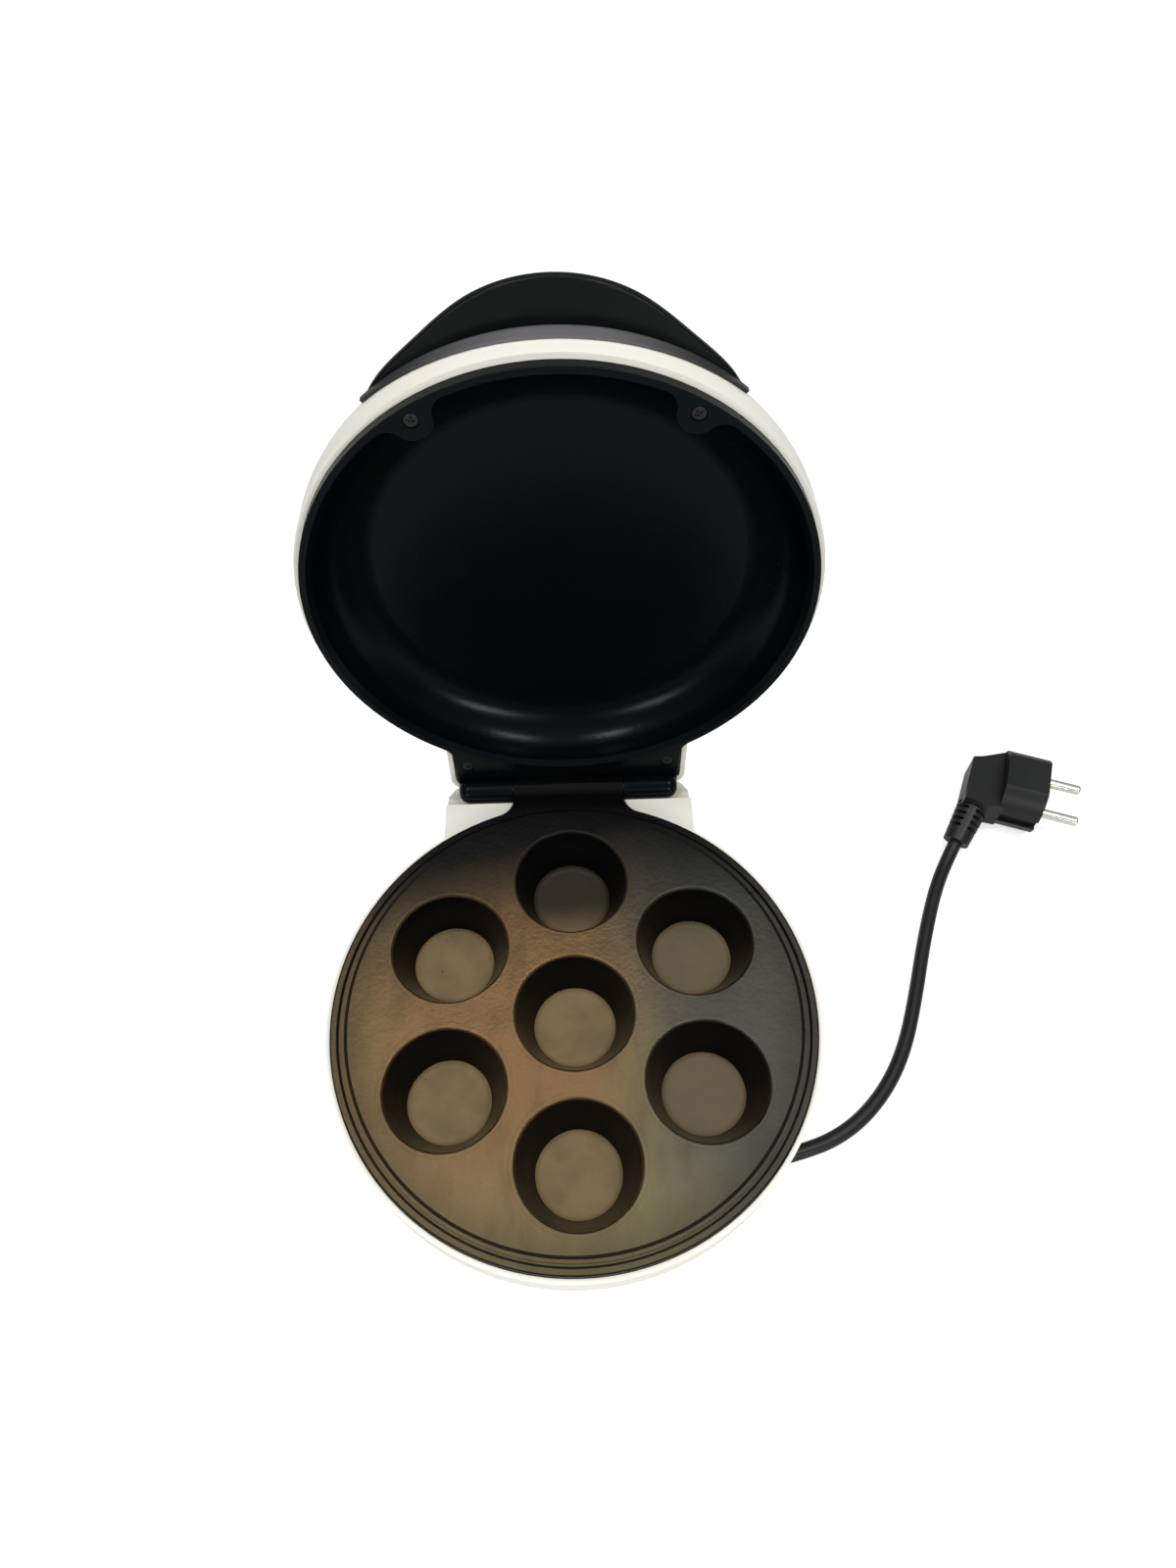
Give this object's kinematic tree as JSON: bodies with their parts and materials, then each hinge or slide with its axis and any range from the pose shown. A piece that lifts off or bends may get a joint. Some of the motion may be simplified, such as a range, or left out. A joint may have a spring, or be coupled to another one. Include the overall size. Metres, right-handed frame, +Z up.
{
  "type": "muffin maker",
  "caption": "Round electric muffin maker with its hinged domed lid open, a black plate with cups, a crescent handle and a mains cord wound under its base.",
  "frame": {"origin": "centre of the footprint of base and open lid, on the table", "axes": "+Z up, +X to the user's right, -Y towards the user, who faces the open lid"},
  "size_m": [0.3564, 0.2705, 0.2739],
  "materials": {
    "cream_plastic": "smooth moulded plastic, creamy white, slightly yellowed by heat",
    "black_plastic": "smooth black moulded plastic",
    "nonstick_plate": "satin black non-stick coating with a fine orange-peel",
    "black_enamel": "satin black coating on sheet metal",
    "heater_steel": "dull oxidised steel sheath",
    "shield_steel": "plain bright steel sheet",
    "ceramic_white": "matt heat-proof moulding",
    "fuse_metal": "plain metal case",
    "black_rubber": "matt rubber",
    "screw_steel": "zinc-plated steel",
    "cord_jacket": "smooth flexible black jacket",
    "nickel_pins": "nickel-plated brass",
    "red_lens": "clear red lens",
    "green_lens": "clear green lens"
  },
  "bodies": {
    "base": {"base_shell": "cream_plastic", "bottom_cover": "black_plastic", "baking_plate": "nonstick_plate", "muffin_cups": "nonstick_plate", "lower_heating_element": "heater_steel", "lower_heat_shield": "shield_steel", "thermostat": "ceramic_white", "thermal_fuse": "fuse_metal", "fuse_strap": "shield_steel", "terminal_block": "ceramic_white", "cord_gland": "black_plastic", "rubber_feet": "black_rubber", "plate_screws": "screw_steel", "hinge_pin": "screw_steel", "cord_winding": "cord_jacket", "power_cord": "cord_jacket", "plug_body": "cord_jacket", "plug_pins": "nickel_pins"},
    "lid": {"lid_shell": "cream_plastic", "lid_plate": "black_enamel", "upper_heating_element": "heater_steel", "upper_heat_shield": "shield_steel", "handle": "black_plastic", "handle_screws": "screw_steel", "lid_plate_screws": "screw_steel", "power_lamp_lens": "red_lens", "ready_lamp_lens": "green_lens", "lamp_holder": "black_plastic"}
  },
  "joints": [
    {"name": "lid_hinge", "type": "hinge", "parent": "base", "child": "lid", "pos_m": [0, 0.07317, 0.0528], "axis": [1, 0, 0], "range_deg": [0, 95.9]}
  ]
}
